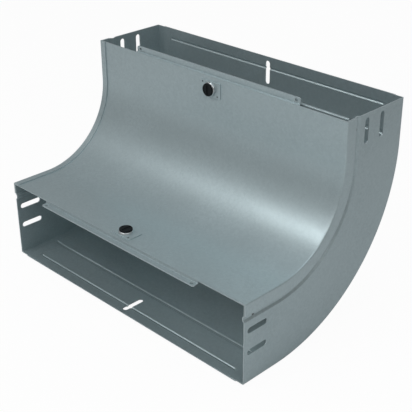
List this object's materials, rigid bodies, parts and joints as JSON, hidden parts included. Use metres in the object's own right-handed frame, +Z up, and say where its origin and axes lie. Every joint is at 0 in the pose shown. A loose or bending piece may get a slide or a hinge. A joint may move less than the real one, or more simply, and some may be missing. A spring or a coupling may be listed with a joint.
{
  "type": "vertical inside bend of closed cable trunking",
  "caption": "Upward quarter bend of wide sheet-metal cable trunking, with a curved cover held by quarter-turn latches and slotted open ends.",
  "frame": {"origin": "middle of the lower edge of the front mouth, on the underside of the base sheet", "axes": "+X across the duct to the right, +Y into the front mouth, +Z up; the duct turns from +Y to +Z"},
  "size_m": [0.403, 0.2631, 0.2631],
  "materials": {
    "galvanised_sheet": "continuously galvanised sheet steel, matt blue-grey",
    "galvanised_cover": "continuously galvanised sheet steel, matt blue-grey with a soft sheen",
    "zinc_plated_steel": "zinc plated, satin",
    "bright_plated_steel": "bright nickel plated",
    "black_plastic": "moulded black nylon, satin"
  },
  "bodies": {
    "bend": {"base_sheet": "galvanised_sheet", "side_wall_left": "galvanised_sheet", "side_wall_right": "galvanised_sheet", "cover_sheet": "galvanised_cover", "cover_rim_left": "galvanised_cover", "cover_rim_right": "galvanised_cover", "joint_strip_front": "galvanised_cover", "latch_plate_front": "galvanised_cover", "latch_collar_front": "bright_plated_steel", "latch_clip_front": "zinc_plated_steel", "keeper_arm_front": "galvanised_sheet", "keeper_rivet_front": "zinc_plated_steel", "joint_strip_top": "galvanised_cover", "latch_plate_top": "galvanised_cover", "latch_collar_top": "bright_plated_steel", "latch_clip_top": "zinc_plated_steel", "keeper_arm_top": "galvanised_sheet", "keeper_rivet_top": "zinc_plated_steel"},
    "front_latch": {"latch_cap_front": "black_plastic", "latch_spindle_front": "zinc_plated_steel", "latch_cam_front": "zinc_plated_steel", "latch_nut_front": "zinc_plated_steel"},
    "top_latch": {"latch_cap_top": "black_plastic", "latch_spindle_top": "zinc_plated_steel", "latch_cam_top": "zinc_plated_steel", "latch_nut_top": "zinc_plated_steel"}
  },
  "joints": [
    {"name": "front_latch_turn", "type": "hinge", "parent": "bend", "child": "front_latch", "pos_m": [0, 0.015, 0.1], "axis": [0, 0, 1], "range_deg": [0, 90]},
    {"name": "top_latch_turn", "type": "hinge", "parent": "bend", "child": "top_latch", "pos_m": [0, 0.1545, 0.2395], "axis": [0, -1, 0], "range_deg": [0, 90]}
  ]
}
